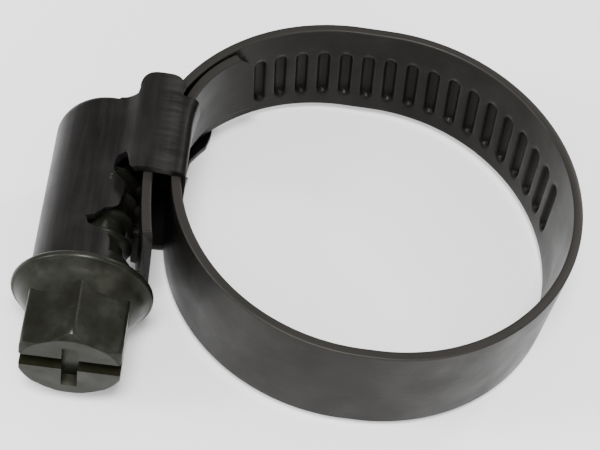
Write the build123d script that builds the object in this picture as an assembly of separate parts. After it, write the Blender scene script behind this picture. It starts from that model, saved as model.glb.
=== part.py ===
from build123d import *
import os
from math import cos, degrees, radians, sin, tan

# Worm-drive hose clamp for hoses of 16 to 27 mm, drawn fully open.
# Millimetres. The origin is the centre of the hose, at half the band's width.
# +Z runs along the hose, the housing is on the -X side, and the screw lies
# along Y with its hexagon head towards -Y.

# ---- band ----
BAND_WIDTH = 9.0
BAND_THICK = 0.7
SEAT_RADIUS = 14.15                               # the hose's radius when the clamp is fully open
RING_RADIUS = SEAT_RADIUS + BAND_THICK / 2        # middle of the strip
RING_CENTRE = (0.0, 0.0)
FRONT_CENTRE = (-1.0, -0.35)                      # arc that leads into the housing at the front
FRONT_RADIUS = 14.15
OVERLAP_CENTRE = (-2.3, -0.3)                     # arc of the strip where it passes over the tongue
OVERLAP_RADIUS = 14.8
TONGUE_CENTRE = (-6.25, 2.8)
TONGUE_RADIUS = 8.9
TONGUE_ROOT_ANGLE = 155.0                         # the fixed end becomes the tongue here
TONGUE_TIP_ANGLE = 116.0
TONGUE_CHAMFER = 0.7
TONGUE_LOW_Z = -2.0                               # the tongue is narrower than the rest of the band
TONGUE_NARROWS_Y = 4.8
TAIL_RADIUS = 38.0                                # the free end is almost straight
TAIL_LENGTH = 7.4
SEAM_GAP = 0.12
LINK_GAP = 0.05                                   # play between neighbouring band pieces

# ---- worm thread and the pressed ribs that it drives ----
PITCH = 1.82
THREAD_RADIUS = 2.95
ROOT_RADIUS = 2.35
CREST_WIDTH = 0.45
ROOT_WIDTH = 0.75
THREAD_TILT = 6.0
RIB_LENGTH = 4.7
RIB_WIDTH = 0.85
RIB_HEIGHT = 0.45
RECESS_DEPTH = 0.4
RIB_MID_Z = -0.6
TAIL_RIBS = 3
RING_RIBS = 25                                    # ribs from the worm to the far side of the ring

# ---- screw ----
SCREW_X = -20.5
FLANGE_BACK = -9.6
FLANGE_THICK = 0.6
CONE_FRONT = -11.4                                # the flange's cone ends at the hexagon
CONE_RADIUS = 4.1
FLANGE_RADIUS = 5.05
HEX_ACROSS = 7.0
HEX_END = -16.0
HEX_CHAMFER = 0.35
SLOT_WIDTH = 1.4
SLOT_Z = 0.4
CROSS_WIDTH = 1.1
CROSS_LENGTH = 5.0
SLOT_DEPTH = 0.9
JOURNAL_RADIUS = 3.18
JOURNAL_END = -7.9
PIN_RADIUS = 2.4
PIN_START = 3.9
PIN_END = 4.75
RUNNING_FIT = 0.07
THREAD_START = -8.3                               # the thread is trimmed to the core at both ends
THREAD_STOP = 4.1
RIM_CHAMFER = 0.15

# ---- housing ----
TUBE_RADIUS = 3.9
TUBE_FRONT = -9.4
TUBE_REAR = 5.05
LIP_START = 4.25
OPEN_SIDE_X = -18.05                              # the tube is open to the band beyond this
COLLAR_OPEN_X = -17.5
COLLAR_REAR = -7.45
LIP_OPEN_X = -17.6
SHEET = 0.6
BRIDGE_FRONT = -2.0
BRIDGE_REAR = 5.0
BRIDGE_Z = 5.25                                   # outer face of the plates over the band's edges
TAB_X = -14.35
TAB_THICK = 0.45
UPPER_TAB_Z = 1.2
LOWER_TAB_Z = -1.0
TAB_REAR = 3.0
CREASE_X = -19.7                                  # the tube ends here where a plate takes over
CREASE_Z = 3.9
UPPER_EAR = (-16.9, 5.5)                          # middle, then size, of the tab over the band's edge
UPPER_EAR_SIZE = (3.2, 2.6)
UPPER_EAR_ROUND = 1.25
LOWER_EAR_ROUND = 0.5
WINDOW_LOW_Z = 0.3
HOLE = (-19.2, -1.0)                              # tear-drop relief where the crease ends
HOLE_SIZE = (1.7, 0.95)
HOLE_TURN = 80
NOTCH_X = (-18.6, -17.75)
NOTCH_Y = (4.25, 4.95)

# Angles, in degrees, where the band is divided into stiff pieces that stand for its bending.
# The rear cuts fall between two ribs and are counted in ribs from the joint beside the worm.
FRONT_CUTS = (206, 230, 254, 280, 306, 330, 348)
REAR_CUTS = (0, 6, 9, 12, 16, 19, 22, 26)
FRONT_TURN = 270                                  # front arc becomes the ring's arc
REAR_TURN = 90                                    # overlap arc becomes the ring's arc


def polar(centre, radius, angle):
    return Vector(centre[0] + radius * cos(radians(angle)), centre[1] + radius * sin(radians(angle)), 0)


def arc_strip(centre, radius, start, end):
    """A piece of band whose middle follows an arc."""
    inner, outer = radius - BAND_THICK / 2, radius + BAND_THICK / 2
    middle = (start + end) / 2
    outline = Wire([
        ThreePointArc(*(polar(centre, outer, angle) for angle in (start, middle, end))).edge(),
        Line(polar(centre, outer, end), polar(centre, inner, end)).edge(),
        ThreePointArc(*(polar(centre, inner, angle) for angle in (end, middle, start))).edge(),
        Line(polar(centre, inner, start), polar(centre, outer, start)).edge(),
    ])
    return extrude(Face(outline), amount=BAND_WIDTH / 2, dir=(0, 0, 1), both=True)


def block(x_range, y_range, z_range):
    size = [high - low for low, high in (x_range, y_range, z_range)]
    middle = [(high + low) / 2 for low, high in (x_range, y_range, z_range)]
    return Pos(*middle) * Box(*size)


def play(radius):
    """The angle that leaves half the play at one end of a piece."""
    return degrees(LINK_GAP / 2 / radius)


# ---- pressed ribs ----

def rib_pair(centre, radius, angle, tilt=-THREAD_TILT):
    """A rib that stands out of the band, and the recess behind it."""
    outward = polar((0, 0), 1, angle)
    foot = polar(centre, radius + BAND_THICK / 2 - 0.05, angle) + Vector(0, 0, RIB_MID_Z)
    back = polar(centre, radius - BAND_THICK / 2 - 0.2, angle) + Vector(0, 0, RIB_MID_Z)
    outline = SlotOverall(RIB_LENGTH, RIB_WIDTH, rotation=tilt)
    foot_plane = Plane(origin=foot, x_dir=(0, 0, 1), z_dir=outward)
    back_plane = Plane(origin=back, x_dir=(0, 0, 1), z_dir=outward)
    rib = extrude(foot_plane * outline, amount=RIB_HEIGHT + 0.05)
    recess = extrude(back_plane * outline, amount=RECESS_DEPTH + 0.2)
    return rib, recess


def press_ribs(strip, places):
    for centre, radius, angle in places:
        rib, recess = rib_pair(centre, radius, angle)
        strip = strip + rib - recess
    return strip


def place_at(ribs):
    """Where the strip is a number of ribs away from the joint beside the worm: centre, radius, angle."""
    distance = ribs * PITCH
    overlap_length = radians(180 - REAR_TURN) * OVERLAP_RADIUS
    flat_length = RING_CENTRE[0] - OVERLAP_CENTRE[0]
    if distance < overlap_length:
        return OVERLAP_CENTRE, OVERLAP_RADIUS, 180 - degrees(distance / OVERLAP_RADIUS)
    if distance < overlap_length + flat_length:
        return (OVERLAP_CENTRE[0] + distance - overlap_length, 0), RING_RADIUS, REAR_TURN
    along = distance - overlap_length - flat_length
    return RING_CENTRE, RING_RADIUS, REAR_TURN - degrees(along / RING_RADIUS)


def cut_angle(ribs):
    return place_at(ribs)[2]


# ---- band pieces ----

def front_piece(start, end):
    start_play, end_play = play(FRONT_RADIUS), play(RING_RADIUS)
    if end > 360:
        end_play = degrees(SEAM_GAP / 2 / RING_RADIUS)
    if end <= FRONT_TURN:
        return arc_strip(FRONT_CENTRE, FRONT_RADIUS, start + start_play, end - end_play)
    if start >= FRONT_TURN:
        return arc_strip(RING_CENTRE, RING_RADIUS, start + start_play, end - end_play)
    lead = arc_strip(FRONT_CENTRE, FRONT_RADIUS, start + start_play, FRONT_TURN)
    flat = block((FRONT_CENTRE[0], 0), (-RING_RADIUS - BAND_THICK / 2, -RING_RADIUS + BAND_THICK / 2),
                 (-BAND_WIDTH / 2, BAND_WIDTH / 2))
    return lead + flat + arc_strip(RING_CENTRE, RING_RADIUS, FRONT_TURN, end - end_play)


def rear_piece(first, last):
    """A piece of the threaded strip, between two cuts that are counted in ribs."""
    start = cut_angle(first) - play(OVERLAP_RADIUS)
    end = cut_angle(last) + play(RING_RADIUS)
    if last == REAR_CUTS[-1]:
        end = cut_angle(last) + degrees(SEAM_GAP / 2 / RING_RADIUS)
    if end > REAR_TURN:
        strip = arc_strip(OVERLAP_CENTRE, OVERLAP_RADIUS, end, start)
    elif start > REAR_TURN:
        flat = block((OVERLAP_CENTRE[0], 0), (RING_RADIUS - BAND_THICK / 2, RING_RADIUS + BAND_THICK / 2),
                     (-BAND_WIDTH / 2, BAND_WIDTH / 2))
        strip = arc_strip(OVERLAP_CENTRE, OVERLAP_RADIUS, REAR_TURN, start) + flat
        strip = strip + arc_strip(RING_CENTRE, RING_RADIUS, end, REAR_TURN)
    else:
        strip = arc_strip(RING_CENTRE, RING_RADIUS, end, start)
    ribs = range(first, min(last, RING_RIBS))
    return press_ribs(strip, [place_at(number + 0.5) for number in ribs])


def tail():
    """The free end, which leaves the housing beside the screw's flange."""
    centre = (OVERLAP_CENTRE[0] - OVERLAP_RADIUS + TAIL_RADIUS, OVERLAP_CENTRE[1])
    end_angle = 180 + degrees(TAIL_LENGTH / TAIL_RADIUS)
    strip = arc_strip(centre, TAIL_RADIUS, 180 + play(TAIL_RADIUS), end_angle)
    steps = [(number + 0.5) * PITCH for number in range(TAIL_RIBS)]
    return press_ribs(strip, [(centre, TAIL_RADIUS, 180 + degrees(step / TAIL_RADIUS)) for step in steps])


def fixed_end():
    """The band's inner end, gripped by the housing."""
    strip_x = FRONT_CENTRE[0] - FRONT_RADIUS
    lead = arc_strip(FRONT_CENTRE, FRONT_RADIUS, 180, FRONT_CUTS[0] - play(FRONT_RADIUS))
    flat = block((strip_x - BAND_THICK / 2, strip_x + BAND_THICK / 2), (FRONT_CENTRE[1], TONGUE_CENTRE[1]),
                 (-BAND_WIDTH / 2, BAND_WIDTH / 2))
    root = TONGUE_ROOT_ANGLE + play(TONGUE_RADIUS)
    rear = arc_strip(TONGUE_CENTRE, TONGUE_RADIUS, root, 180)
    return lead + flat + rear - below_tongue()


def below_tongue():
    """The part of the strip that is trimmed away below the tongue."""
    return block((-2 * RING_RADIUS, 0), (TONGUE_NARROWS_Y, 2 * RING_RADIUS), (-BAND_WIDTH, TONGUE_LOW_Z))


def tongue():
    """The thin end that keeps the hose from being pinched under the overlap."""
    strip = arc_strip(TONGUE_CENTRE, TONGUE_RADIUS, TONGUE_TIP_ANGLE, TONGUE_ROOT_ANGLE - play(TONGUE_RADIUS))
    strip = strip - below_tongue()
    tip = polar(TONGUE_CENTRE, TONGUE_RADIUS, TONGUE_TIP_ANGLE)
    return chamfer(short_edges(strip, tip), TONGUE_CHAMFER)


def short_edges(strip, tip):
    """The two edges through the strip's thickness at one end."""
    through = strip.edges().filter_by(lambda edge: abs(edge.length - BAND_THICK) < 0.01)
    return [edge for edge in through if (Vector(edge.center().X, edge.center().Y, 0) - tip).length < 0.1]


# ---- screw ----

def along_screw(y, shape):
    """Stands a shape drawn on +Z on the screw's axis, pointing towards +Y from y."""
    return Pos(SCREW_X, y, 0) * Rot(X=-90) * shape


def screw_cylinder(radius, start, end):
    return along_screw(start, extrude(Circle(radius), amount=end - start))


def worm_thread():
    """Right-hand thread whose crests face the gaps between the ribs."""
    height = THREAD_STOP - THREAD_START
    half_root, half_crest = ROOT_WIDTH / 2, CREST_WIDTH / 2
    base = ROOT_RADIUS - 0.15
    profile = Plane.XZ * Polygon((base, -half_root), (THREAD_RADIUS, -half_crest),
                                 (THREAD_RADIUS, half_crest), (base, half_root), align=None)
    thread = sweep(profile, path=Helix(PITCH, height, base), is_frenet=True)
    shift_at_centre = RIB_MID_Z * tan(radians(THREAD_TILT))
    crest_y = OVERLAP_CENTRE[1] + shift_at_centre
    phase = 360 * ((crest_y - THREAD_START) / PITCH % 1)
    return along_screw(THREAD_START, Rot(Z=-phase) * thread)


def head():
    flange = screw_cylinder(FLANGE_RADIUS, FLANGE_BACK - FLANGE_THICK, FLANGE_BACK)
    flange = chamfer(flange.edges().filter_by(GeomType.CIRCLE), RIM_CHAMFER)
    cone_length = FLANGE_BACK - FLANGE_THICK - CONE_FRONT
    flange_cone = along_screw(CONE_FRONT, Cone(CONE_RADIUS, FLANGE_RADIUS - 0.2, cone_length,
                                               align=(Align.CENTER, Align.CENTER, Align.MIN)))
    hex_length = FLANGE_BACK - FLANGE_THICK - HEX_END
    hexagon = RegularPolygon(HEX_ACROSS / 2, 6, major_radius=False, rotation=30)
    block_hex = Pos(SCREW_X, HEX_END, 0) * Rot(X=-90) * extrude(hexagon, amount=hex_length + 0.1)
    corner = HEX_ACROSS / 2 / cos(radians(30))
    envelope = along_screw(HEX_END, Cylinder(corner + 0.05, hex_length + 0.1,
                                             align=(Align.CENTER, Align.CENTER, Align.MIN)))
    envelope = chamfer(envelope.edges().filter_by(GeomType.CIRCLE).sort_by(Axis.Y)[0], HEX_CHAMFER)
    hexagon_part = block_hex & envelope
    slot = block((SCREW_X - 5, SCREW_X + 5), (HEX_END - 1, HEX_END + SLOT_DEPTH),
                 (SLOT_Z - SLOT_WIDTH / 2, SLOT_Z + SLOT_WIDTH / 2))
    cross = block((SCREW_X - CROSS_WIDTH / 2, SCREW_X + CROSS_WIDTH / 2),
                  (HEX_END - 1, HEX_END + SLOT_DEPTH), (-CROSS_LENGTH / 2, CROSS_LENGTH / 2))
    return flange + flange_cone + hexagon_part - slot - cross


def worm_screw():
    core = screw_cylinder(ROOT_RADIUS, JOURNAL_END - 0.1, PIN_START + 0.1)
    journal = screw_cylinder(JOURNAL_RADIUS, FLANGE_BACK - 0.1, JOURNAL_END)
    pin = screw_cylinder(PIN_RADIUS, PIN_START, PIN_END)
    thread = worm_thread() & screw_cylinder(THREAD_RADIUS + 1, JOURNAL_END - 0.05, PIN_START + 0.05)
    return core + journal + pin + head() + thread


# ---- housing ----

def tube():
    """The round half of the housing that holds the worm, open towards the band."""
    bore = JOURNAL_RADIUS + RUNNING_FIT
    shell = screw_cylinder(TUBE_RADIUS, TUBE_FRONT, TUBE_REAR)
    shell = shell - screw_cylinder(bore, TUBE_FRONT - 1, LIP_START)
    shell = shell - screw_cylinder(PIN_RADIUS + RUNNING_FIT, TUBE_FRONT - 1, TUBE_REAR + 1)
    shell = shell - block((OPEN_SIDE_X, 0), (COLLAR_REAR, LIP_START), (-8, 8))
    shell = shell - block((COLLAR_OPEN_X, 0), (TUBE_FRONT - 1, COLLAR_REAR + 0.1), (-8, 8))
    shell = shell - block((LIP_OPEN_X, 0), (LIP_START - 0.1, TUBE_REAR + 1), (-8, 8))
    # The plates over the band take the wall's place above and below it.
    return shell - block((CREASE_X, 0), (BRIDGE_FRONT, LIP_START), (-8, 8))


def plate_section():
    """Half of the bent sheet that joins the tube to a tab, above the band."""
    outer = BRIDGE_Z
    inner = BRIDGE_Z - SHEET
    outside = [(CREASE_X - 0.5, CREASE_Z), (CREASE_X, CREASE_Z + 0.05), (-18.7, 4.7), (-18.0, 5.1),
               (-17.3, outer), (-15.9, outer - 0.02), (-15.2, outer - 0.17), (-14.7, outer - 0.5),
               (TAB_X, outer - 1.1)]
    tab_inside = TAB_X - TAB_THICK
    inside = [(TAB_X, UPPER_TAB_Z), (tab_inside, UPPER_TAB_Z), (tab_inside, inner - 0.1),
              (tab_inside - 0.1, inner), (-17.75, inner), (CREASE_X, 3.22), (CREASE_X - 0.5, 3.3)]
    return Polygon(*outside, *inside, align=None)


def plate(upper):
    """One side plate, with its tab folded over the inside of the band."""
    section = plate_section()
    rear_plane = Plane.XZ.offset(-BRIDGE_REAR)
    solid = extrude(rear_plane * section, amount=BRIDGE_REAR - BRIDGE_FRONT, dir=(0, -1, 0))
    tab_rear = block((TAB_X - TAB_THICK - 0.3, 0), (TAB_REAR, BRIDGE_REAR + 1), (-1, BRIDGE_Z - SHEET - 0.3))
    solid = solid - tab_rear
    if not upper:
        solid = mirror(solid, about=Plane.XY)
        solid = solid + block((TAB_X - TAB_THICK, TAB_X), (BRIDGE_FRONT, TAB_REAR), (-4, LOWER_TAB_Z))
    return solid


def upper_ear():
    ear = Pos(*UPPER_EAR, 0) * RectangleRounded(*UPPER_EAR_SIZE, UPPER_EAR_ROUND)
    neck = Pos(UPPER_EAR[0] + 0.4, UPPER_EAR[1] - 0.9, 0) * Rectangle(2.4, 1.4)
    return extrude(Pos(0, 0, BRIDGE_Z - SHEET) * (ear + neck), amount=SHEET)


def lower_ear():
    outline = Polygon((-17.9, 4.2), (-14.4, 4.2), (-14.15, 7.0), (-12.9, 8.5), (-12.8, 9.7), (-13.6, 10.3),
                      (-15.6, 9.0), (-17.6, 7.2), align=None)
    outline = fillet(outline.vertices().filter_by(lambda vertex: vertex.Y > BRIDGE_REAR), LOWER_EAR_ROUND)
    return extrude(Pos(0, 0, -BRIDGE_Z) * outline, amount=SHEET, dir=(0, 0, 1))


def rear_flap():
    """The three-cornered flap that laps over the root of the tongue."""
    outer = TONGUE_RADIUS - BAND_THICK / 2
    along = Pos(*TONGUE_CENTRE, 0)
    sheet = extrude(along * (Circle(outer) - Circle(outer - TAB_THICK)), amount=BRIDGE_Z)
    outline = Polygon((TAB_REAR - 1, BRIDGE_Z), (TAB_REAR - 1, UPPER_TAB_Z + 0.4), (4.3, UPPER_TAB_Z + 0.4),
                      (5.4, 2.4), (5.0, BRIDGE_Z), align=None)
    corner = extrude(Plane.YZ.offset(TAB_X - 1.7) * outline, amount=4, dir=(1, 0, 0))
    top = block((TAB_X - 0.85, TAB_X + 0.75), (TAB_REAR + 1, BRIDGE_REAR), (BRIDGE_Z - SHEET, BRIDGE_Z - 0.1))
    ring = along * Cylinder(outer + 0.9, 20) - along * Cylinder(outer - TAB_THICK, 20)
    return (sheet & corner) + (top & ring)


def window():
    """The torn-looking opening through which the worm thread shows."""
    outline = Polygon((-21.2, -7.2), (-21.2, -5.6), (-20.4, -5.2), (-19.7, -5.2), (-19.0, -4.6),
                      (-18.5, -3.3), (-18.4, BRIDGE_FRONT), (-14, BRIDGE_FRONT), (-14, -7.2), align=None)
    return extrude(Pos(0, 0, WINDOW_LOW_Z) * outline, amount=8, dir=(0, 0, 1))


def relief_cuts():
    hole_outline = SlotOverall(*HOLE_SIZE, rotation=HOLE_TURN)
    hole = Pos(*HOLE, TUBE_RADIUS - 2 * SHEET) * extrude(hole_outline, amount=4)
    notch = block(NOTCH_X, NOTCH_Y, (3, 8))
    return [hole, notch]


def housing():
    body = tube() + plate(True) + plate(False) + upper_ear() + lower_ear() + rear_flap() - window()
    for cut in relief_cuts():
        body = body - cut
    bore = screw_cylinder(JOURNAL_RADIUS + RUNNING_FIT, TUBE_FRONT - 1, LIP_START)
    return body - bore - fixed_end()


# ---- the clamp ----

def clamp_parts():
    parts = {
        "housing": housing(),
        "worm_screw": worm_screw(),
        "band_fixed_end": fixed_end(),
        "band_tongue": tongue(),
        "band_tail": tail(),
    }
    front_ends = (*FRONT_CUTS, 360 + cut_angle(REAR_CUTS[-1]))
    for number, (start, end) in enumerate(zip(front_ends, front_ends[1:]), 1):
        parts[f"band_front_{number}"] = front_piece(start, end)
    rear_names = ["band_threaded_end"] + [f"band_rear_{number}" for number in range(1, len(REAR_CUTS) - 1)]
    for rear_name, first, last in zip(rear_names, REAR_CUTS, REAR_CUTS[1:]):
        parts[rear_name] = rear_piece(first, last)
    return parts


os.makedirs("parts", exist_ok=True)
for name, shape in clamp_parts().items():
    export_step(shape, f"parts/{name}.step")
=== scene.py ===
from math import acos, atan2, cos, degrees, hypot, pi, radians, sin, sqrt, tan

import bmesh
import bpy
import numpy as np
from mathutils import Matrix, Vector, noise


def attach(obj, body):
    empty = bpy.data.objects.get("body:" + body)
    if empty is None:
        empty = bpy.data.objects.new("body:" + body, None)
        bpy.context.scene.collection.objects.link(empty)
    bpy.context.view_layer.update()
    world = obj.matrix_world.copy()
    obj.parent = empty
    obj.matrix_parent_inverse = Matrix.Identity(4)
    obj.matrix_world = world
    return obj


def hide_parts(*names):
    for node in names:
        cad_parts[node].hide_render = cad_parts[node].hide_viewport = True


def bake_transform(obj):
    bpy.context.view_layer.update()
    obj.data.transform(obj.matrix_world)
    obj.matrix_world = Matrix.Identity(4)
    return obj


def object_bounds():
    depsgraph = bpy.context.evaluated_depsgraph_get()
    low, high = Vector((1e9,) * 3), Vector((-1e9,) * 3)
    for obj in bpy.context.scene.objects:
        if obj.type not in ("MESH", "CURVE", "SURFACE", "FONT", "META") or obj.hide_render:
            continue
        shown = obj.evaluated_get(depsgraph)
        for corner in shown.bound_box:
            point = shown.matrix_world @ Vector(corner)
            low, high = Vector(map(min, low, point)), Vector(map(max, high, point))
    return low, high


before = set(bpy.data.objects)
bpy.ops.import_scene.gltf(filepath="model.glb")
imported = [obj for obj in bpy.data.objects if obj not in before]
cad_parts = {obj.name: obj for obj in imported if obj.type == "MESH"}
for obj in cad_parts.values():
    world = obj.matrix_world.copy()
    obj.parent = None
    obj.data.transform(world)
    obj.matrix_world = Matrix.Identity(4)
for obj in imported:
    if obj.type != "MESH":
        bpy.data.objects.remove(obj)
cad_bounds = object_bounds()

MM = 0.001

# ---- sizes of the clamp, in millimetres, as the frame has them ----
BAND_WIDTH = 9.0
BAND_THICK = 0.7
BAND_CORNER = 0.13                 # rounding along the strip's edges
RING_RADIUS = 14.5
RING_CENTRE = (0.0, 0.0)
FRONT_CENTRE = (-1.0, -0.35)
FRONT_RADIUS = 14.15
OVERLAP_CENTRE = (-2.3, -0.3)
OVERLAP_RADIUS = 14.8
TONGUE_CENTRE = (-6.25, 2.8)
TONGUE_RADIUS = 8.9
TONGUE_TIP_ANGLE = 116.0
TONGUE_CUT_ANGLE = 155.0
TONGUE_LONGER = 0.27               # how far the end goes on past the tip's angle
TONGUE_SHAPED = 2.5                # the columns this near the tongue's end follow its shape
TONGUE_SLANT = 0.15                # the tongue's end isn't cut quite square
TONGUE_CHAMFER = 0.9
TONGUE_LOW_Z = -2.05
NARROW_FROM, NARROW_TO = 9.6, 7.4  # distances from the tip where the lower edge rises
TAIL_RADIUS = 38.0
TAIL_LENGTH = 7.4
TAIL_CHAMFER = 0.6
TAIL_SHAPED = 1.5                  # the columns this near the tail's end follow its shape
PITCH = 1.82
THREAD_TILT = 6.0
RIB_LENGTH = 4.7
RIB_WIDTH = 0.85
RIB_HEIGHT = 0.45
RECESS_DEPTH = 0.42
RIB_MID_Z = -0.6
RIB_WALL = 0.08                    # half the run of a rib's side wall
RECESS_WALL = 0.17
TAIL_RIBS = 3
RING_RIBS = 25
FRONT_CUTS = (206, 230, 254, 280, 306, 330, 348)
REAR_CUTS = (0, 6, 9, 12, 16, 19, 22, 26)
BLEND_REACH = 1.8                  # reach either side of a hinge in bend_across; the places found there are not used

SCREW_X = -20.5
FLANGE_BACK = -9.6
FLANGE_FRONT = -10.2
CONE_FRONT = -11.4
CONE_RADIUS = 4.05
FLANGE_RADIUS = 5.05
HEX_ACROSS = 7.0
HEX_END = -16.0
HEAD_ROW = 0.7                     # between the rows of points along the hexagon
HEAD_STEPS = 240
NO_LIMIT = 9                       # wider than the hexagon's corners
SLOT_WIDTH = 1.4
SLOT_Z = 0.4
CROSS_WIDTH = 1.1
CROSS_LENGTH = 5.0
SLOT_DEPTH = 0.9
SLOT_REACH = 12.0                  # the slot runs right across the head
JOURNAL_RADIUS = 3.18
JOURNAL_END = -7.9
THREAD_RADIUS = 2.95
ROOT_RADIUS = 2.35
CREST_WIDTH = 0.45
ROOT_WIDTH = 0.75
PIN_RADIUS = 2.4
PIN_START = 3.9
PIN_END = 4.75

TUBE_RADIUS = 3.9
TUBE_REAR = 5.05
BRIDGE_FRONT = -2.0
ROLL_SIDE = 1.35                   # rolling-in of the tube's rear rim, far from the band and next to it
ROLL_TOP = 0.35
SHEET = 0.6
SHORTEST_EDGE = 0.05               # points of the sheet's outline nearer than this are dropped
PLATE_Z = 5.25
TAB_X = -14.35

ring_length = radians(90) * OVERLAP_RADIUS
flat_length = RING_CENTRE[0] - OVERLAP_CENTRE[0]
SEAM_ANGLE = 90 - degrees((REAR_CUTS[-1] * PITCH - ring_length - flat_length) / RING_RADIUS)


# ---- small helpers ----

def smooth(value):
    value = np.clip(value, 0, 1)
    return value * value * (3 - 2 * value)


def make_object(name, vertices, faces):
    mesh = bpy.data.meshes.new(name)
    mesh.from_pydata([tuple(v) for v in np.asarray(vertices) * MM], [], faces)
    mesh.validate()
    tidy = bmesh.new()
    tidy.from_mesh(mesh)
    bmesh.ops.recalc_face_normals(tidy, faces=tidy.faces)
    tidy.to_mesh(mesh)
    tidy.free()
    obj = bpy.data.objects.new(name, mesh)
    bpy.context.scene.collection.objects.link(obj)
    for polygon in mesh.polygons:
        polygon.use_smooth = True
    return obj


def ring_faces(rings, size):
    """Quads between neighbouring rings of points, with a cap at each end."""
    faces = []
    for first in range(0, (rings - 1) * size, size):
        for step in range(size):
            after = (step + 1) % size
            faces.append((first + step, first + after, first + size + after, first + size + step))
    faces.append(tuple(range(size)))
    faces.append(tuple(range((rings - 1) * size, rings * size))[::-1])
    return faces


def apply_modifiers(obj):
    bpy.context.view_layer.update()
    evaluated = obj.evaluated_get(bpy.context.evaluated_depsgraph_get())
    mesh = bpy.data.meshes.new_from_object(evaluated)
    obj.modifiers.clear()
    obj.data = mesh
    return obj


def weighted_normals(obj, sharp_angle=50):
    obj.data.set_sharp_from_angle(angle=radians(sharp_angle))
    modifier = obj.modifiers.new("normals", "WEIGHTED_NORMAL")
    modifier.keep_sharp = True
    modifier.weight = 80
    return apply_modifiers(obj)


# ---- the band's middle line ----

def arc_run(centre, radius, start, end):
    return {"kind": "arc", "centre": centre, "radius": radius, "start": start, "end": end,
            "length": radius * radians(abs(end - start))}


def flat_run(start, end, outward):
    return {"kind": "flat", "start": start, "end": end, "outward": outward,
            "length": hypot(end[0] - start[0], end[1] - start[1])}


tail_centre = (OVERLAP_CENTRE[0] - OVERLAP_RADIUS + TAIL_RADIUS, OVERLAP_CENTRE[1])
threaded_runs = [
    arc_run(tail_centre, TAIL_RADIUS, 180 + degrees(TAIL_LENGTH / TAIL_RADIUS), 180),
    arc_run(OVERLAP_CENTRE, OVERLAP_RADIUS, 180, 90),
    flat_run((OVERLAP_CENTRE[0], RING_RADIUS), (0, RING_RADIUS), (0, 1)),
    arc_run(RING_CENTRE, RING_RADIUS, 90, SEAM_ANGLE),
]
strip_x = FRONT_CENTRE[0] - FRONT_RADIUS
fixed_runs = [
    arc_run(TONGUE_CENTRE, TONGUE_RADIUS, TONGUE_TIP_ANGLE, 180),
    flat_run((strip_x, TONGUE_CENTRE[1]), (strip_x, FRONT_CENTRE[1]), (-1, 0)),
    arc_run(FRONT_CENTRE, FRONT_RADIUS, 180, 270),
    flat_run((FRONT_CENTRE[0], -RING_RADIUS), (0, -RING_RADIUS), (0, -1)),
    arc_run(RING_CENTRE, RING_RADIUS, 270, 360 + SEAM_ANGLE),
]


def along(runs, distance):
    """The point at a distance along the strip, and the outward direction there."""
    for run in runs:
        if distance <= run["length"] or run is runs[-1]:
            break
        distance -= run["length"]
    share = distance / run["length"]
    if run["kind"] == "flat":
        point = [a + (b - a) * share for a, b in zip(run["start"], run["end"])]
        return np.array(point), np.array(run["outward"], float)
    angle = radians(run["start"] + (run["end"] - run["start"]) * share)
    outward = np.array((cos(angle), sin(angle)))
    return np.array(run["centre"]) + run["radius"] * outward, outward


def run_start(runs, number):
    return sum(run["length"] for run in runs[:number])


threaded_length = run_start(threaded_runs, len(threaded_runs))
fixed_length = run_start(fixed_runs, len(fixed_runs))


# ---- strip meshes ----

def rib_height(across, z, wall):
    """How far the pressed rib stands, from 0 to 1, at a place beside its middle."""
    half = RIB_WIDTH / 2
    straight = RIB_LENGTH / 2 - half
    beyond = np.maximum(np.abs(z - RIB_MID_Z) - straight, 0)
    from_edge = np.hypot(across, beyond) - half
    return smooth(0.5 - from_edge / (2 * wall))


def section_rows():
    """Heights of the rows across the band, close together round the ends of the ribs."""
    half_rib = RIB_LENGTH / 2
    rows = [-4.37, -3.9, -3.4]
    rows += [RIB_MID_Z - half_rib + step for step in (-0.12, -0.06, 0.0, 0.06, 0.13, 0.2, 0.28, 0.36, 0.45)]
    rows += [-2.0, -1.3, RIB_MID_Z, 0.1, 0.8]
    rows += [RIB_MID_Z + half_rib - step for step in (0.45, 0.36, 0.28, 0.2, 0.13, 0.06, 0.0, -0.06, -0.12)]
    rows += [2.2, 2.7, 3.2, 3.8, 4.37]
    return np.array(rows)


ROWS = section_rows()
CORNER_STEPS = 4


def section_loop():
    """One trip round the strip's section: offset from the middle, height, and which face it is on."""
    half, top = BAND_THICK / 2, BAND_WIDTH / 2
    loop = [(half, z, 1) for z in ROWS]
    corners = [(half - BAND_CORNER, top - BAND_CORNER, 0), (-half + BAND_CORNER, top - BAND_CORNER, 90)]
    for offset, z, first in corners:
        for step in range(CORNER_STEPS + 1):
            angle = radians(first + 90 * step / CORNER_STEPS)
            loop.append((offset + BAND_CORNER * cos(angle), z + BAND_CORNER * sin(angle), 0))
    loop += [(-half, z, -1) for z in ROWS[::-1]]
    for offset, z, first in [(-o, -z, f + 180) for o, z, f in corners]:
        for step in range(CORNER_STEPS + 1):
            angle = radians(first + 90 * step / CORNER_STEPS)
            loop.append((offset + BAND_CORNER * cos(angle), z + BAND_CORNER * sin(angle), 0))
    return np.array(loop)


LOOP = section_loop()


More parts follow.
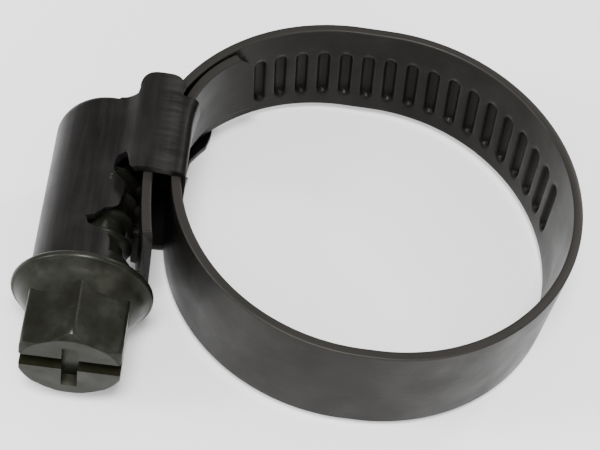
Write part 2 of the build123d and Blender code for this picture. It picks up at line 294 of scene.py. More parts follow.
def strip(name, runs, columns, tilt, rib_middles, end_shift, low_edge=lambda column: -BAND_WIDTH / 2):
    """A length of band. end_shift(column, z) moves a column along the strip, for shaped ends."""
    vertices, marks = [], []
    for column in columns:
        nearest = min(rib_middles, key=lambda middle: abs(middle - column)) if rib_middles else column + 9
        shrink = low_edge(column) / (-BAND_WIDTH / 2)
        for offset, z, side in LOOP:
            z = z * shrink if z < 0 else z
            lean = -(z - RIB_MID_Z) * tan(radians(THREAD_TILT)) * tilt(column)
            distance = column + lean + end_shift(column, z)
            rise = rib_height(column - nearest, z, RIB_WALL if side > 0 else RECESS_WALL) if side else 0.0
            lift = rise * (RIB_HEIGHT if side > 0 else RECESS_DEPTH)
            point, outward = along(runs, distance)
            place = point + outward * (offset + lift)
            vertices.append((place[0], place[1], z))
            marks.append((distance, z, 1.0 if side == 0 else 0.0, rise))
    obj = make_object(name, vertices, ring_faces(len(columns), len(LOOP)))
    marks = np.array(marks, np.float32)
    where = obj.data.attributes.new("strip_place", "FLOAT_VECTOR", "POINT")
    where.data.foreach_set("vector", marks[:, :3].ravel())
    pressed = obj.data.attributes.new("pressed", "FLOAT", "POINT")
    pressed.data.foreach_set("value", marks[:, 3])
    return weighted_normals(obj)


# ---- threaded half of the band ----

def rib_columns(middle):
    beside = (0.18, 0.36, 0.425, 0.49, 0.55, 0.66)
    return [middle] + [middle + step * side for step in beside for side in (-1, 1)]


def threaded_columns(first, last):
    """Columns between two places that are counted in ribs from the joint beside the worm."""
    columns = [TAIL_LENGTH + first * PITCH]
    number = int(np.floor(first))
    while number < last:
        middle = TAIL_LENGTH + (number + 0.5) * PITCH
        columns += rib_columns(middle) + [middle + PITCH / 2]
        number += 1
    low, high = max(columns[0], 0), min(TAIL_LENGTH + last * PITCH, threaded_length)
    return sorted({round(c, 4) for c in columns if low < c < high} | {low, high})


def threaded_tilt(column):
    end_room = min(column, threaded_length - column)
    return float(smooth(end_room / 1.2))


def threaded_strip(name, first, last):
    middles = [TAIL_LENGTH + (number + 0.5) * PITCH for number in range(-TAIL_RIBS, RING_RIBS)]
    return strip(name, threaded_runs, threaded_columns(first, last), threaded_tilt, middles, tail_end_shift)


def tail_end_shift(column, z):
    """The tail's corners are clipped."""
    clipped = max(abs(z) - (BAND_WIDTH / 2 - TAIL_CHAMFER), 0)
    return clipped * max(0, 1 - column / TAIL_SHAPED)


def bend_across(obj, runs, distance, before):
    start, _ = along(runs, distance - BLEND_REACH)
    end, _ = along(runs, distance + BLEND_REACH)
    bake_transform(obj)
    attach(obj, before)


def threaded_half():
    bodies = ["tail", "threaded_end"] + [f"rear_{number}" for number in range(1, len(REAR_CUTS) - 1)]
    nodes = [f"band_{body}" for body in bodies]
    middles = [(a + b) // 2 for a, b in zip(REAR_CUTS, REAR_CUTS[1:])]
    ends = [-TAIL_LENGTH / PITCH] + middles[:-1] + [REAR_CUTS[-1]]
    made = []
    for number in range(len(bodies) - 1):
        name = "tail_strip" if number == 0 else f"threaded_strip_{number}"
        piece = threaded_strip(name, ends[number], ends[number + 1])
        hinge = TAIL_LENGTH + REAR_CUTS[number] * PITCH
        bend_across(piece, threaded_runs, hinge, bodies[number])
        stands_for = nodes[number:number + 2] if number == len(bodies) - 2 else nodes[number:number + 1]
        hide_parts(*stands_for)
        made.append(piece)
    return made


# ---- plain half of the band ----

def fixed_distance(angle):
    """Distance from the tongue's tip to an angle on the front arc or the ring."""
    if angle <= 270:
        return run_start(fixed_runs, 2) + FRONT_RADIUS * radians(angle - 180)
    return run_start(fixed_runs, 4) + RING_RADIUS * radians(angle - 270)


def tongue_end_shift(column, z):
    """The end's top corner is clipped, its lower corner less so, and the cut between them leans."""
    top = max(z - (BAND_WIDTH / 2 - TONGUE_CHAMFER), 0) * 1.1
    bottom = max(TONGUE_LOW_Z + 0.35 - z, 0) * 1.2
    shift = top + bottom + TONGUE_SLANT * (z + 2) - TONGUE_LONGER
    return shift * max(0, 1 - column / TONGUE_SHAPED)


def tongue_low_edge(column):
    share = float(smooth((NARROW_FROM - column) / (NARROW_FROM - NARROW_TO)))
    return -BAND_WIDTH / 2 + (TONGUE_LOW_Z + BAND_WIDTH / 2) * share


def plain_columns(first, last, step=0.35):
    count = max(2, int(round((last - first) / step)))
    return [first + (last - first) * number / count for number in range(count + 1)]


def plain_half():
    tongue_cut = TONGUE_RADIUS * radians(TONGUE_CUT_ANGLE - TONGUE_TIP_ANGLE)
    cuts = [tongue_cut] + [fixed_distance(angle) for angle in FRONT_CUTS]
    bodies = ["tongue", "root"] + [f"front_{number}" for number in range(1, len(FRONT_CUTS) + 1)]
    nodes = ["band_tongue", "band_fixed_end"] + [f"band_{body}" for body in bodies[2:]]
    ends = [0] + [(a + b) / 2 for a, b in zip(cuts, cuts[1:])] + [fixed_length]
    made = []
    for number, cut in enumerate(cuts):
        name = "tongue_strip" if number == 0 else f"front_strip_{number}"
        piece = strip(name, fixed_runs, plain_columns(ends[number], ends[number + 1]), lambda column: 0, [],
                      tongue_end_shift, tongue_low_edge)
        bend_across(piece, fixed_runs, cut, bodies[number])
        stands_for = nodes[number:number + 2] if number == len(cuts) - 1 else nodes[number:number + 1]
        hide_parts(*stands_for)
        made.append(piece)
    return made


# ---- screw ----

def lathe(name, profile, steps=96):
    """Turns (radius, y) points about the screw's axis."""
    vertices = []
    for radius, y in profile:
        for step in range(steps):
            angle = 2 * pi * step / steps
            vertices.append((SCREW_X + radius * cos(angle), y, radius * sin(angle)))
    return make_object(name, vertices, ring_faces(len(profile), steps))


def hexagon_radius(angle, corner=0.35):
    """Distance from the centre to a hexagon with rounded corners, one corner pointing up."""
    half = HEX_ACROSS / 2
    within = degrees(angle) % 60
    off = radians(min(within, 60 - within))
    corner_angle = radians(30)
    centre = (half - corner) / cos(corner_angle)
    delta = corner_angle - off
    inside = corner * corner - (centre * sin(delta)) ** 2
    if inside > 0 and off > atan2(corner_tangent(half, corner), half):
        return centre * cos(delta) + sqrt(inside)
    return half / cos(off)


def corner_tangent(half, corner):
    """How far along a flat the rounded corner starts."""
    return (half - corner) * tan(radians(30))


def hex_head():
    """The hexagon, with a cone cut across its corners at the end, and the two slots."""
    rows = [(CONE_FRONT - step * HEAD_ROW, NO_LIMIT) for step in range(-1, 6)]
    corner_reach = HEX_ACROSS / 2 / cos(radians(30)) - 0.14
    limit_start = HEX_END + 0.42
    cone_end = HEX_ACROSS / 2 + 0.16
    for step in range(11):
        share = step / 10
        y = limit_start + (HEX_END + 0.12 - limit_start) * share
        rows.append((y, corner_reach + (cone_end - corner_reach) * share))
    rows += [(HEX_END + 0.05, cone_end - 0.06), (HEX_END, cone_end - 0.2)]
    vertices = []
    for y, limit in rows:
        for step in range(HEAD_STEPS):
            angle = 2 * pi * step / HEAD_STEPS
            radius = min(hexagon_radius(angle), limit)
            vertices.append((SCREW_X + radius * cos(angle), y, radius * sin(angle)))
    head = make_object("screw_head", vertices, ring_faces(len(rows), HEAD_STEPS))
    cut_box(head, (SCREW_X, HEX_END, SLOT_Z), (SLOT_REACH, 2 * SLOT_DEPTH, SLOT_WIDTH))
    cut_box(head, (SCREW_X, HEX_END, 0), (CROSS_WIDTH, 2 * SLOT_DEPTH, CROSS_LENGTH))
    return head


def cut_box(obj, middle, size):
    corners = [(middle[0] + size[0] / 2 * x, middle[1] + size[1] / 2 * y, middle[2] + size[2] / 2 * z)
               for x in (-1, 1) for y in (-1, 1) for z in (-1, 1)]
    quads = [(0, 1, 3, 2), (4, 6, 7, 5), (0, 4, 5, 1), (2, 3, 7, 6), (0, 2, 6, 4), (1, 5, 7, 3)]
    cutter = make_object("cutter", corners, quads)
    modifier = obj.modifiers.new("cut", "BOOLEAN")
    modifier.operation = "DIFFERENCE"
    modifier.solver = "EXACT"
    modifier.object = cutter
    apply_modifiers(obj)
    bpy.data.objects.remove(cutter)


def soften(obj, width, angle=35, segments=2):
    modifier = obj.modifiers.new("soften", "BEVEL")
    modifier.width = width * MM
    modifier.segments = segments
    modifier.limit_method = "ANGLE"
    modifier.angle_limit = radians(angle)
    modifier.use_clamp_overlap = True
    modifier.harden_normals = False
    return apply_modifiers(obj)


def flange():
    """The conical flange, which flares into the hexagon, and the smooth journal behind it."""
    rim = 0.2
    profile = [(3.3, CONE_FRONT - 0.6), (3.62, CONE_FRONT - 0.35), (CONE_RADIUS - 0.16, CONE_FRONT - 0.02),
               (CONE_RADIUS, CONE_FRONT + 0.14), (4.4, CONE_FRONT + 0.62),
               (FLANGE_RADIUS - rim - 0.06, FLANGE_FRONT - 0.02)]
    middle = (FLANGE_FRONT + FLANGE_BACK) / 2
    half = (FLANGE_BACK - FLANGE_FRONT) / 2
    for step in range(13):
        angle = pi * (step / 12) - pi / 2
        profile.append((FLANGE_RADIUS - rim + rim * cos(angle), middle + half * sin(angle) * 0.98))
    profile += [(4.4, FLANGE_BACK), (JOURNAL_RADIUS, FLANGE_BACK), (JOURNAL_RADIUS, JOURNAL_END + 0.1),
                (JOURNAL_RADIUS - 0.1, JOURNAL_END), (ROOT_RADIUS, JOURNAL_END), (ROOT_RADIUS, PIN_START),
                (PIN_RADIUS, PIN_START), (PIN_RADIUS, PIN_END - 0.2), (PIN_RADIUS - 0.2, PIN_END)]
    return lathe("screw_shank", profile)


def worm_thread():
    """Right-hand thread, in step with the ribs of the band."""
    crest_y = OVERLAP_CENTRE[1] + RIB_MID_Z * tan(radians(THREAD_TILT))
    start, end = JOURNAL_END - 0.1, PIN_START
    base = ROOT_RADIUS - 0.1
    turn_start = (start - crest_y) / PITCH * 2 * pi
    turn_end = (end - crest_y) / PITCH * 2 * pi
    half_root, half_crest = ROOT_WIDTH / 2, CREST_WIDTH / 2
    soft = 0.07
    outline = [(base, -half_root), (THREAD_RADIUS - soft, -half_crest), (THREAD_RADIUS, -half_crest + soft),
               (THREAD_RADIUS, half_crest - soft), (THREAD_RADIUS - soft, half_crest), (base, half_root)]
    per_turn = 64
    count = int((turn_end - turn_start) / (2 * pi) * per_turn)
    fade_steps = 24
    vertices = []
    for step in range(count + 1):
        turn = turn_start + (turn_end - turn_start) * step / count
        end_fade = min(1.0, step / fade_steps, (count - step) / fade_steps)
        for radius, shift in outline:
            reach = base + (radius - base) * end_fade
            y = crest_y + turn / (2 * pi) * PITCH + shift
            vertices.append((SCREW_X + reach * cos(turn), y, -reach * sin(turn)))
    return make_object("screw_thread", vertices, ring_faces(count + 1, len(outline)))


def screw():
    head = soften(hex_head(), 0.07)
    weighted_normals(head, 40)
    shank = weighted_normals(flange(), 40)
    thread = weighted_normals(worm_thread(), 50)
    for piece in (head, shank, thread):
        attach(piece, "screw")
    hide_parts("worm_screw")
    return [head, shank, thread]


# ---- housing: one sheet, cut flat and then bent ----

CREASE_ANGLE = 80.0
crease_p = TUBE_RADIUS * radians(180 - CREASE_ANGLE)


def rounded_path(corners, steps=8):
    """Points along a line whose inner corners are rounded. Each corner is (x, z, radius)."""
    points = [np.array(corners[0][:2])]
    for before, corner, after in zip(corners, corners[1:], corners[2:]):
        middle = np.array(corner[:2])
        back = np.array(before[:2]) - middle
        ahead = np.array(after[:2]) - middle
        back, ahead = back / np.linalg.norm(back), ahead / np.linalg.norm(ahead)
        half_angle = acos(np.clip(back @ ahead, -1, 1)) / 2
        reach = corner[2] / tan(half_angle)
        centre = middle + (back + ahead) / np.linalg.norm(back + ahead) * corner[2] / sin(half_angle)
        first, last = middle + back * reach - centre, middle + ahead * reach - centre
        for step in range(steps + 1):
            way = first + (last - first) * step / steps
            points.append(centre + way / np.linalg.norm(way) * corner[2])
    points.append(np.array(corners[-1][:2]))
    return np.array(points)


tube_arc = [(SCREW_X + TUBE_RADIUS * cos(radians(a)), TUBE_RADIUS * sin(radians(a)))
            for a in np.linspace(180, CREASE_ANGLE, 40)]
plate_path = rounded_path([(*tube_arc[-1], 0), (tube_arc[-1][0] + 0.35, tube_arc[-1][1] + 0.03, 0.9),
                           (-18.25, 5.05, 1.3), (-17.2, PLATE_Z, 3.0), (-15.7, PLATE_Z - 0.07, 0.6),
                           (TAB_X + 0.02, 4.85, 0.75), (TAB_X, 3.4, 2.0), (TAB_X, 0.0, 0)])
section = np.vstack([tube_arc, plate_path[1:]])
section_p = np.concatenate([[0], np.cumsum(np.linalg.norm(np.diff(section, axis=0), axis=1))])
FLAT_X = -16.8
on_plate = (section[:, 1] > 4.9) & (section[:, 0] > -18.5)
flat_p = float(np.interp(FLAT_X, section[on_plate][:, 0], section_p[on_plate]))


def plate_at(x):
    """Distance along the sheet to a place on the flat plate, measured as if all of it were flat."""
    return flat_p + x - FLAT_X


def tab_at(z):
    """Distance along the sheet to a height on the tab."""
    low = section[section_p > flat_p]
    return float(np.interp(-z, -low[:, 1], section_p[section_p > flat_p]))


def tongue_lead(y):
    """How far the tab is pushed inwards to follow the tongue's bend."""
    if y <= TONGUE_CENTRE[1]:
        return 0.0
    inner = TONGUE_RADIUS - BAND_THICK / 2
    return inner - sqrt(inner ** 2 - (y - TONGUE_CENTRE[1]) ** 2)


def swaged(reach, y):
    """The tube's rear rim is rolled inwards: the radius there, and the place along the screw."""
    roll = ROLL_SIDE + (ROLL_TOP - ROLL_SIDE) * float(smooth(reach / crease_p))
    start = TUBE_REAR - roll
    if y <= start:
        return TUBE_RADIUS, y
    turn = min((y - start) / roll, 1) * radians(90)
    return TUBE_RADIUS - roll * (1 - cos(turn)), start + roll * sin(turn)


def bend_sheet(p, y):
    """Where a point of the flat sheet goes when the housing is folded: the outer face."""
    side = 1 if p >= 0 else -1
    reach = abs(p)
    angle = radians(180) - reach / TUBE_RADIUS
    radius, rolled_y = swaged(min(reach, crease_p), y)
    curl = np.array((SCREW_X + radius * cos(angle), radius * sin(angle)))
    if reach <= crease_p:
        return curl[0], rolled_y, side * curl[1]
    bent = np.array((np.interp(reach, section_p, section[:, 0]), np.interp(reach, section_p, section[:, 1])))
    bent[0] += tongue_lead(y) * float(smooth((reach - plate_at(-15.6)) / 1.5))
    if side < 0:
        spread = np.array((reach - flat_p + FLAT_X, PLATE_Z))
        outside = float(smooth((y - 4.6) / 0.9)) * float(smooth((reach - plate_at(-18.0)) / 0.8))
        bent = bent * (1 - outside) + spread * outside
    if y < BRIDGE_FRONT - 0.04 and reach > crease_p + 0.1:
        return curl[0], y, side * curl[1]
    share = float(smooth((y + 3.0) / 0.9))
    place = curl * (1 - share) + bent * share
    return place[0], y, side * place[1]


def ragged(points, amount, pieces, seed):
    """Breaks a line into short torn-looking steps."""
    made = []
    for (p0, y0), (p1, y1) in zip(points, points[1:]):
        for step in range(pieces):
            share = step / pieces
            p, y = p0 + (p1 - p0) * share, y0 + (y1 - y0) * share
            bump = noise.noise(Vector((p * 1.7 + seed, y * 1.7, seed))) * amount if made else 0
            made.append((p + bump, y + bump * 0.8))
    made.append(points[-1])
    return made


def curve_points(centre, radius_p, radius_y, start, end, count):
    return [(centre[0] + radius_p * cos(radians(a)), centre[1] + radius_y * sin(radians(a)))
            for a in np.linspace(start, end, count)]


def upper_outline():
    """The flat sheet's edge on the side that lies over the band, from the rear round to the front."""
    line = [(crease_p * 0.5, TUBE_REAR), (crease_p, TUBE_REAR)]
    line += [(plate_at(-19.0), 4.95), (plate_at(-18.8), 5.0)]
    line += curve_points((plate_at(-17.5), 5.75), 1.2, 1.05, 195, 90, 12)
    line += curve_points((plate_at(-16.3), 5.75), 1.05, 1.05, 90, -30, 12)
    line += [(plate_at(-15.3), 5.0)]
    line += [(tab_at(z), y) for z, y in [(4.6, 4.95), (4.0, 5.0), (3.3, 5.2), (2.75, 5.4), (2.45, 5.4),
                                         (2.2, 5.2), (1.6, 4.3), (1.25, 3.7), (1.2, -1.7)]]
    line += [(tab_at(z), BRIDGE_FRONT) for z in (1.5, 3.0)]
    line += [(plate_at(x), BRIDGE_FRONT) for x in (-16.0, -17.3, -18.35)]
    # The slit beside the bridge runs into the tear-shaped hole at the end of the crease.
    line += [(plate_at(x), y) for x, y in [(-18.5, -1.8), (-18.65, -1.3), (-18.85, -0.7), (-19.05, -0.35)]]
    line += [(7.25, -0.4), (7.1, -0.8), (7.06, -1.3), (7.15, -1.75), (7.35, -2.0), (7.6, -2.05), (8.0, -2.2)]
    line += ragged([(8.2, -2.6), (8.1, -3.15), (8.0, -3.95), (7.85, -4.5), (7.4, -4.85), (6.85, -5.05),
                    (6.25, -5.75), (5.64, -5.9), (5.95, -6.55)], 0.13, 3, 3.1)
    line += [(6.5, -6.75), (7.2, -6.9), (7.6, -7.3), (7.8, -8.2), (7.75, -9.2), (7.6, -9.4)]
    return line


def lower_outline():
    """The same on the lower side, from the front round to the rear."""
    line = [(8.6, -9.4), (8.8, -9.2), (8.8, -7.8), (8.8, -7.4), (8.7, -6.5), (8.7, -3.2), (8.5, -2.4),
            (plate_at(-17.6), BRIDGE_FRONT), (plate_at(-16.0), BRIDGE_FRONT), (tab_at(3.0), BRIDGE_FRONT),
            (tab_at(-0.7), BRIDGE_FRONT)]
    line += [(tab_at(z), y) for z, y in [(-1.0, -1.7), (-1.0, 2.4), (-0.7, 2.8), (3.2, 3.4), (4.2, 4.4),
                                         (4.8, 4.9)]]
    line += [(plate_at(x), y) for x, y in [(-14.4, TUBE_REAR), (-14.2, 6.6), (-13.7, 7.4), (-13.1, 8.2),
                                           (-12.85, 9.2)]]
    line += curve_points((plate_at(-13.3), 9.75), 0.5, 0.5, 0, 130, 7)
    line += [(plate_at(-15.6), 8.9), (plate_at(-17.2), 7.4)]
    line += curve_points((plate_at(-17.0), 6.4), 0.9, 0.9, 130, 215, 6)
    line += [(plate_at(-17.75), 5.0)]
    line += [(plate_at(-18.4), 5.0), (crease_p, TUBE_REAR), (crease_p * 0.5, TUBE_REAR)]
    return [(-p, y) for p, y in line]


def housing_sheet():
    """The outline is filled, cut into a grid so that it can bend, folded, and given its thickness."""
    flat = bmesh.new()
    kept = []
    for point in upper_outline() + lower_outline():
        if not kept or hypot(point[0] - kept[-1][0], point[1] - kept[-1][1]) > SHORTEST_EDGE:
            kept.append(point)
    corners = [flat.verts.new((p, y, 0)) for p, y in kept]
    edges = [flat.edges.new(pair) for pair in zip(corners, corners[1:] + corners[:1])]
    bmesh.ops.triangle_fill(flat, use_beauty=True, use_dissolve=False, edges=edges)
    across = [*np.arange(-20, 20, 0.24), crease_p + 0.02, -crease_p - 0.02]
    lengthwise = [*np.arange(-9, -3.2, 0.5), *np.arange(-3.1, -1.7, 0.1), *np.arange(-1.5, 3.6, 0.5),
                  *np.arange(3.6, TUBE_REAR, 0.12), *np.arange(5.3, 11, 0.4)]
    for places, direction in ((across, Vector((1, 0, 0))), (lengthwise, Vector((0, 1, 0)))):
        for place in places:
            bmesh.ops.bisect_plane(flat, geom=flat.verts[:] + flat.edges[:] + flat.faces[:], dist=1e-5,
                                   plane_co=direction * place, plane_no=direction)
    bmesh.ops.remove_doubles(flat, verts=flat.verts, dist=0.02)
    for vertex in flat.verts:
        vertex.co = Vector(bend_sheet(vertex.co.x, vertex.co.y)) * MM
    bmesh.ops.recalc_face_normals(flat, faces=flat.faces)
    mesh = bpy.data.meshes.new("housing_sheet")
    flat.to_mesh(mesh)
    flat.free()
    obj = bpy.data.objects.new("housing_sheet", mesh)
    bpy.context.scene.collection.objects.link(obj)
    outward = sum((face.normal.x * (face.center.x / MM - SCREW_X) + face.normal.z * face.center.z / MM
                   for face in mesh.polygons if face.center.x < SCREW_X * MM))
    if outward < 0:
        mesh.flip_normals()
    for polygon in mesh.polygons:
        polygon.use_smooth = True
    thick = obj.modifiers.new("thickness", "SOLIDIFY")
    thick.thickness = SHEET * MM
    thick.offset = -1
    thick.use_even_offset = False
    thick.use_quality_normals = True
    apply_modifiers(obj)
    soften(obj, 0.09, angle=50)
    weighted_normals(obj, 40)
    return obj


def housing():
    sheet = housing_sheet()
    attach(sheet, "root")
    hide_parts("housing")
    return [sheet]


# ---- materials ----

# Each set of tones runs from dark to light over the smudges.
BAND_TONES = ((0.0053, 0.0045, 0.0040), (0.0081, 0.0072, 0.0064), (0.0130, 0.0119, 0.0109))
BAND_STREAK = (0.0217, 0.0202, 0.0186)
BAND_WORN_EDGE = (0.0310, 0.0291, 0.0267)
# Painted shade laid into the band's pressed ribs and recesses.
BAND_PRESSED_SHADE = (0.0015, 0.0012, 0.0011)
HOUSING_TONES = ((0.0075, 0.0069, 0.0066), (0.0115, 0.0106, 0.0103), (0.0185, 0.0173, 0.0170))
HOUSING_STREAK = (0.0275, 0.0260, 0.0255)
# Painted highlight over the housing's bend.
HOUSING_BEND_HIGHLIGHT = (0.0375, 0.0355, 0.0340)
# Painted shade on the tab that turns down inside the bend.
HOUSING_TAB_SHADE = (0.0040, 0.0035, 0.0030)
ZINC_TONES = ((0.0079, 0.0081, 0.0050), (0.0144, 0.0148, 0.0112), (0.0302, 0.0306, 0.0266))
ZINC_GRIME = (0.0047, 0.0043, 0.0022)
SLOT_STAIN = (0.0144, 0.0144, 0.0054)
FLOOR_TONE = 0.86


def new_material(name):
    material = bpy.data.materials.new(name)
    material.use_nodes = True
    nodes = material.node_tree.nodes
    shader = next(node for node in nodes if node.type == "BSDF_PRINCIPLED")
    return material, nodes, material.node_tree.links, shader


def tarnished(name):
    """A dark, half-oxidised metal, without its colour and relief."""
    material, nodes, links, shader = new_material(name)
    shader.inputs["Metallic"].default_value = 0.5
    shader.inputs["Specular IOR Level"].default_value = 0.07
    return material, nodes, links, shader


def noise_node(nodes, links, source, scale, detail=4.0, stretch=(1, 1, 1), roughness=0.55):
    mapping = nodes.new("ShaderNodeMapping")
    mapping.inputs["Scale"].default_value = stretch
    links.new(source, mapping.inputs["Vector"])
    node = nodes.new("ShaderNodeTexNoise")
    node.inputs["Scale"].default_value = scale
    node.inputs["Detail"].default_value = detail
    node.inputs["Roughness"].default_value = roughness
    links.new(mapping.outputs["Vector"], node.inputs["Vector"])
    return node.outputs["Fac"]


def ramp_node(nodes, links, source, places, colours):
    ramp = nodes.new("ShaderNodeValToRGB")
    elements = ramp.color_ramp.elements
    while len(elements) < len(places):
        elements.new(0.5)
    for element, position, colour in zip(elements, places, colours):
        element.position = position
        element.color = (*colour, 1)
    links.new(source, ramp.inputs["Fac"])
    return ramp.outputs["Color"]


def mix_colour(nodes, links, amount, first, second):
    mix = nodes.new("ShaderNodeMix")
    mix.data_type = "RGBA"
    links.new(amount, mix.inputs["Factor"])
    links.new(first, mix.inputs["A"])
    mix.inputs["B"].default_value = (*second, 1)
    return mix.outputs["Result"]


def map_range(nodes, links, source, low, high, to_low, to_high):
    node = nodes.new("ShaderNodeMapRange")
    node.inputs["From Min"].default_value = low
    node.inputs["From Max"].default_value = high
    node.inputs["To Min"].default_value = to_low
    node.inputs["To Max"].default_value = to_high
    links.new(source, node.inputs["Value"])
    return node.outputs["Result"]


def multiply(nodes, links, first, second):
    node = nodes.new("ShaderNodeMath")
    node.operation = "MULTIPLY"
    links.new(first, node.inputs[0])
    links.new(second, node.inputs[1])
    return node.outputs["Value"]


def bump_node(nodes, links, height, strength, distance, normal=None):
    node = nodes.new("ShaderNodeBump")
    node.inputs["Strength"].default_value = strength
    node.inputs["Distance"].default_value = distance
    links.new(height, node.inputs["Height"])
    if normal is not None:
        links.new(normal, node.inputs["Normal"])
    return node.outputs["Normal"]


def band_steel():
    """Rolled strip: fine lines along the band, smudges, bright worn edges, painted shade in the pressed ribs
    and recesses.
    """
    material, nodes, links, shader = tarnished("band_steel")
    place = nodes.new("ShaderNodeAttribute")
    place.attribute_name = "strip_place"
    pressed = nodes.new("ShaderNodeAttribute")
    pressed.attribute_name = "pressed"
    coordinates = nodes.new("ShaderNodeTexCoord")
    smudge = noise_node(nodes, links, coordinates.outputs["Object"], 260, 5.0)
    lines = noise_node(nodes, links, place.outputs["Vector"], 1.0, 6.0, (0.5, 14, 1))
    colour = ramp_node(nodes, links, smudge, (0.3, 0.55, 0.75), BAND_TONES)
    streaks = map_range(nodes, links, lines, 0.35, 0.7, 0.0, 0.35)
    colour = mix_colour(nodes, links, streaks, colour, BAND_STREAK)
    edges = nodes.new("ShaderNodeSeparateXYZ")
    links.new(place.outputs["Vector"], edges.inputs["Vector"])
    worn = map_range(nodes, links, edges.outputs["Z"], 0.3, 1.0, 0.0, 0.75)
    colour = mix_colour(nodes, links, worn, colour, BAND_WORN_EDGE)
    # Painted shade: the pressed ribs and recesses are darkened.
    pressed_shade = map_range(nodes, links, pressed.outputs["Fac"], 0.3, 1.0, 0.0, 0.45)
    colour = mix_colour(nodes, links, pressed_shade, colour, BAND_PRESSED_SHADE)
    links.new(colour, shader.inputs["Base Color"])
    roughness = map_range(nodes, links, smudge, 0.3, 0.75, 0.46, 0.3)
    links.new(roughness, shader.inputs["Roughness"])
    fine = noise_node(nodes, links, coordinates.outputs["Object"], 2600, 3.0)
    normal = bump_node(nodes, links, lines, 0.25, 0.00003)
    normal = bump_node(nodes, links, fine, 0.12, 0.00002, normal)
    links.new(normal, shader.inputs["Normal"])
    return material


def housing_steel():
    """Pressed sheet, drawn lengthwise, with a painted highlight over the bend, streaked by scuffs, and
    painted shade on the tab behind it.
    """
    material, nodes, links, shader = tarnished("housing_steel")
    coordinates = nodes.new("ShaderNodeTexCoord")
    smudge = noise_node(nodes, links, coordinates.outputs["Object"], 300, 5.0)
    lines = noise_node(nodes, links, coordinates.outputs["Object"], 700, 5.0, (3.0, 0.25, 3.0))
    across = noise_node(nodes, links, coordinates.outputs["Object"], 900, 5.0, (0.3, 3.0, 0.3))
    colour = ramp_node(nodes, links, smudge, (0.3, 0.55, 0.78), HOUSING_TONES)
    streaks = map_range(nodes, links, lines, 0.45, 0.75, 0.0, 0.4)
    colour = mix_colour(nodes, links, streaks, colour, HOUSING_STREAK)
    place = nodes.new("ShaderNodeSeparateXYZ")
    links.new(coordinates.outputs["Object"], place.inputs["Vector"])
    # Painted highlight over the bend, streaked by scuffs.
    bend = map_range(nodes, links, place.outputs["X"], -17.2 * MM, -16.0 * MM, 0.0, 1.0)
    top = map_range(nodes, links, place.outputs["Z"], 4.3 * MM, 4.9 * MM, 0.0, 1.0)
    scuffs = map_range(nodes, links, across, 0.35, 0.7, 0.1, 0.8)
    bend_highlight = multiply(nodes, links, multiply(nodes, links, bend, top), scuffs)
    colour = mix_colour(nodes, links, bend_highlight, colour, HOUSING_BEND_HIGHLIGHT)
    # Painted shade on the tab, growing darker towards it.
    inside = map_range(nodes, links, place.outputs["X"], -15.8 * MM, -15.2 * MM, 0.0, 0.75)
    colour = mix_colour(nodes, links, inside, colour, HOUSING_TAB_SHADE)
    links.new(colour, shader.inputs["Base Color"])
    roughness = map_range(nodes, links, smudge, 0.3, 0.75, 0.45, 0.3)
    links.new(roughness, shader.inputs["Roughness"])
    normal = bump_node(nodes, links, lines, 0.18, 0.00004)
    normal = bump_node(nodes, links, across, 0.12, 0.00003, normal)
    links.new(normal, shader.inputs["Normal"])
    return material


def screw_zinc():
    """Zinc plate, yellowish and smeared, worn bright in patches, with an olive stain in the slot."""
    material, nodes, links, shader = tarnished("screw_zinc")
    coordinates = nodes.new("ShaderNodeTexCoord")
    patches = noise_node(nodes, links, coordinates.outputs["Object"], 330, 6.0)
    grime = noise_node(nodes, links, coordinates.outputs["Object"], 750, 6.0)
    colour = ramp_node(nodes, links, patches, (0.32, 0.5, 0.7), ZINC_TONES)
    dark = map_range(nodes, links, grime, 0.55, 0.8, 0.0, 0.6)
    colour = mix_colour(nodes, links, dark, colour, ZINC_GRIME)
    place = nodes.new("ShaderNodeSeparateXYZ")
    links.new(coordinates.outputs["Object"], place.inputs["Vector"])
    outer, inner = (SLOT_WIDTH / 2 + 0.02) * MM, (SLOT_WIDTH / 2 - 0.02) * MM
    middle = SLOT_Z * MM
    floor = HEX_END + SLOT_DEPTH
    end = map_range(nodes, links, place.outputs["Y"], (floor + 0.1) * MM, (floor - 0.1) * MM, 0.0, 1.0)
    below = map_range(nodes, links, place.outputs["Z"], middle - outer, middle - inner, 0.0, 1.0)
    above = map_range(nodes, links, place.outputs["Z"], middle + outer, middle + inner, 0.0, 1.0)
    stained = multiply(nodes, links, multiply(nodes, links, below, above), end)
    colour = mix_colour(nodes, links, stained, colour, SLOT_STAIN)
    links.new(colour, shader.inputs["Base Color"])
    roughness = map_range(nodes, links, grime, 0.3, 0.8, 0.26, 0.45)
    links.new(roughness, shader.inputs["Roughness"])
    fine = noise_node(nodes, links, coordinates.outputs["Object"], 1800, 4.0)
    normal = bump_node(nodes, links, fine, 0.2, 0.00004)
    links.new(normal, shader.inputs["Normal"])
    return material


def floor_material():
    material, nodes, links, shader = new_material("floor_matt")
    shader.inputs["Base Color"].default_value = (FLOOR_TONE, FLOOR_TONE, FLOOR_TONE, 1)
    shader.inputs["Roughness"].default_value = 0.9
    return material


def finish_in(pieces, material):
    for piece in pieces:
        piece.data.materials.clear()
        piece.data.materials.append(material)


# ---- camera, floor and light ----

CAMERA_TURN = -7.5
CAMERA_HEIGHT = 54.5
CAMERA_ROLL = 13.76
CAMERA_AWAY = 116.9
CAMERA_AIM = (-5.41, -0.82, -1.09)
CAMERA_LENS = 93.3
FLOOR_GAP = 0.02
FLOOR_HALF = 900


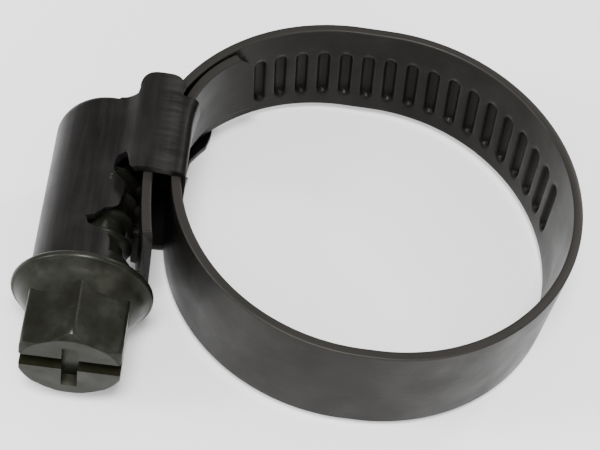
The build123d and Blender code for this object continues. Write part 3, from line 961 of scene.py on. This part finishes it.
def camera():
    turn, height, roll = (radians(a) for a in (CAMERA_TURN, CAMERA_HEIGHT, CAMERA_ROLL))
    back = Vector((sin(turn) * cos(height), -cos(turn) * cos(height), sin(height)))
    right = Vector((cos(turn), sin(turn), 0))
    up = back.cross(right)
    rolled_right = cos(roll) * right + sin(roll) * up
    rolled_up = -sin(roll) * right + cos(roll) * up
    data = bpy.data.cameras.new("camera")
    data.lens = CAMERA_LENS
    data.sensor_width = 36
    data.clip_start = 0.001
    data.clip_end = 10
    obj = bpy.data.objects.new("camera", data)
    bpy.context.scene.collection.objects.link(obj)
    turned = Matrix((rolled_right, rolled_up, back)).transposed().to_4x4()
    place = (Vector(CAMERA_AIM) + back * CAMERA_AWAY) * MM
    obj.matrix_world = Matrix.Translation(place) @ turned
    bpy.context.scene.camera = obj


def area_light(name, place, aim, size, power, colour=(1, 1, 1)):
    data = bpy.data.lights.new(name, "AREA")
    data.shape = "RECTANGLE"
    data.size, data.size_y = size[0] * MM, size[1] * MM
    data.energy = power
    data.color = colour
    obj = bpy.data.objects.new(name, data)
    bpy.context.scene.collection.objects.link(obj)
    obj.location = Vector(place) * MM
    obj.rotation_euler = (Vector(aim) * MM - obj.location).to_track_quat("-Z", "Y").to_euler()


def studio():
    floor_z = cad_bounds[0].z / MM - FLOOR_GAP
    half = FLOOR_HALF
    floor = make_object("floor", [(-half, -half, floor_z), (half, -half, floor_z), (half, half, floor_z),
                                  (-half, half, floor_z)], [(0, 1, 2, 3)])
    floor.data.materials.append(floor_material())
    area_light("key", (-30, -110, 300), (-5, 0, 0), (90, 90), 1.7)
    area_light("front", (170, -230, 150), (0, 0, 0), (140, 120), 0.4)
    area_light("left", (-260, -60, 130), (-20, 0, 0), (90, 160), 0.7)
    area_light("rear", (190, 230, 230), (0, 0, 0), (60, 60), 0.5)
    world = bpy.data.worlds.new("studio")
    world.use_nodes = True
    world.node_tree.nodes["Background"].inputs["Color"].default_value = (1, 1, 1, 1)
    world.node_tree.nodes["Background"].inputs["Strength"].default_value = 0.8
    bpy.context.scene.world = world


# ---- the clamp ----

camera()
studio()
finish_in(threaded_half() + plain_half(), band_steel())
finish_in(housing(), housing_steel())
finish_in(screw(), screw_zinc())
